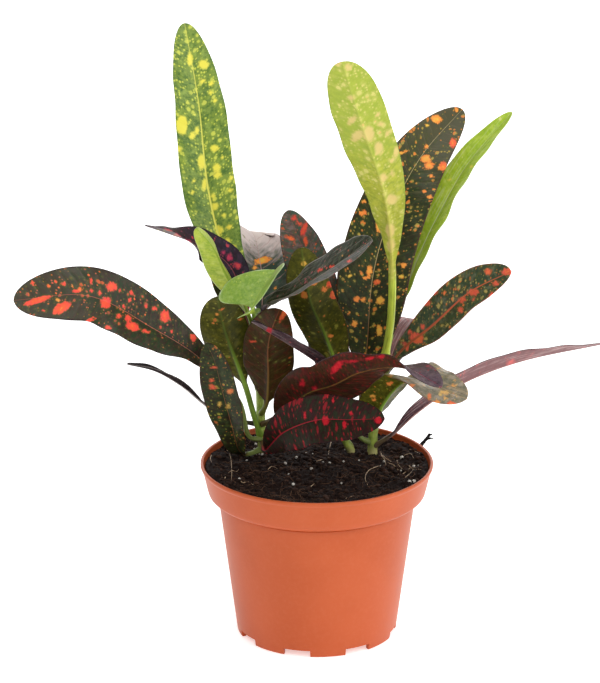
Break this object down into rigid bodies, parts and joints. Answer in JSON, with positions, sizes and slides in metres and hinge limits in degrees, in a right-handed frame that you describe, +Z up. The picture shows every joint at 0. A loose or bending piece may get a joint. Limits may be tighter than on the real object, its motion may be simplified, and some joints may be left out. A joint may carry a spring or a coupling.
{
  "type": "potted croton",
  "caption": "Variegated croton in a round tapered plastic nursery pot: long narrow spotted leaves on short stems, in dark potting soil.",
  "frame": {"origin": "on the pot's axis at the level of the floor that its foot stands on", "axes": "+Z up along the pot axis, +X to the right as the picture shows it, +Y away from the side that the picture shows"},
  "size_m": [0.3008, 0.1356, 0.3083],
  "materials": {
    "pot": "satin terracotta orange moulded plastic",
    "soil": "almost black fibrous potting soil with white grains, matt",
    "stem": "fresh green stem, satin",
    "leaf_dark": "glossy dark green leaf with red, orange and yellow spots",
    "leaf_green_speckled": "glossy green leaf with yellow spots and a yellow midrib",
    "leaf_yellow_green": "yellow-green leaf with soft pale yellow blotches",
    "leaf_young_green": "bright green young leaf, satin",
    "leaf_red": "dark red leaf with scarlet blotches and a red midrib",
    "leaf_purple": "purple leaf, pinkish underneath",
    "leaf_olive": "olive leaf underside with a light midrib"
  },
  "bodies": {
    "root": {"pot": "pot", "soil": "soil", "stem_left": "stem", "stem_middle": "stem", "stem_right": "stem", "leaf_tall_speckled": "leaf_green_speckled", "leaf_small_folded": "leaf_young_green", "leaf_small_curled": "leaf_young_green", "leaf_dark_folded": "leaf_dark", "leaf_long_left": "leaf_dark", "leaf_narrow_left": "leaf_dark", "leaf_olive_left": "leaf_olive", "leaf_olive_centre": "leaf_olive", "leaf_front_left": "leaf_dark", "leaf_sheen_centre": "leaf_dark", "leaf_narrow_purple": "leaf_purple", "leaf_back_arching": "leaf_dark", "leaf_red_patch": "leaf_dark", "leaf_olive_middle": "leaf_olive", "leaf_yellow_green": "leaf_yellow_green", "leaf_big_dark": "leaf_dark", "leaf_bright_back": "leaf_young_green", "leaf_right_spotted": "leaf_dark", "leaf_long_right": "leaf_purple", "leaf_red_arching": "leaf_red", "leaf_red_front": "leaf_red", "leaf_olive_arching": "leaf_olive", "leaf_back_left": "leaf_dark", "leaf_back_high_left": "leaf_dark", "leaf_back_middle": "leaf_dark", "leaf_back_right": "leaf_purple", "leaf_back_high_right": "leaf_dark"}
  },
  "joints": []
}
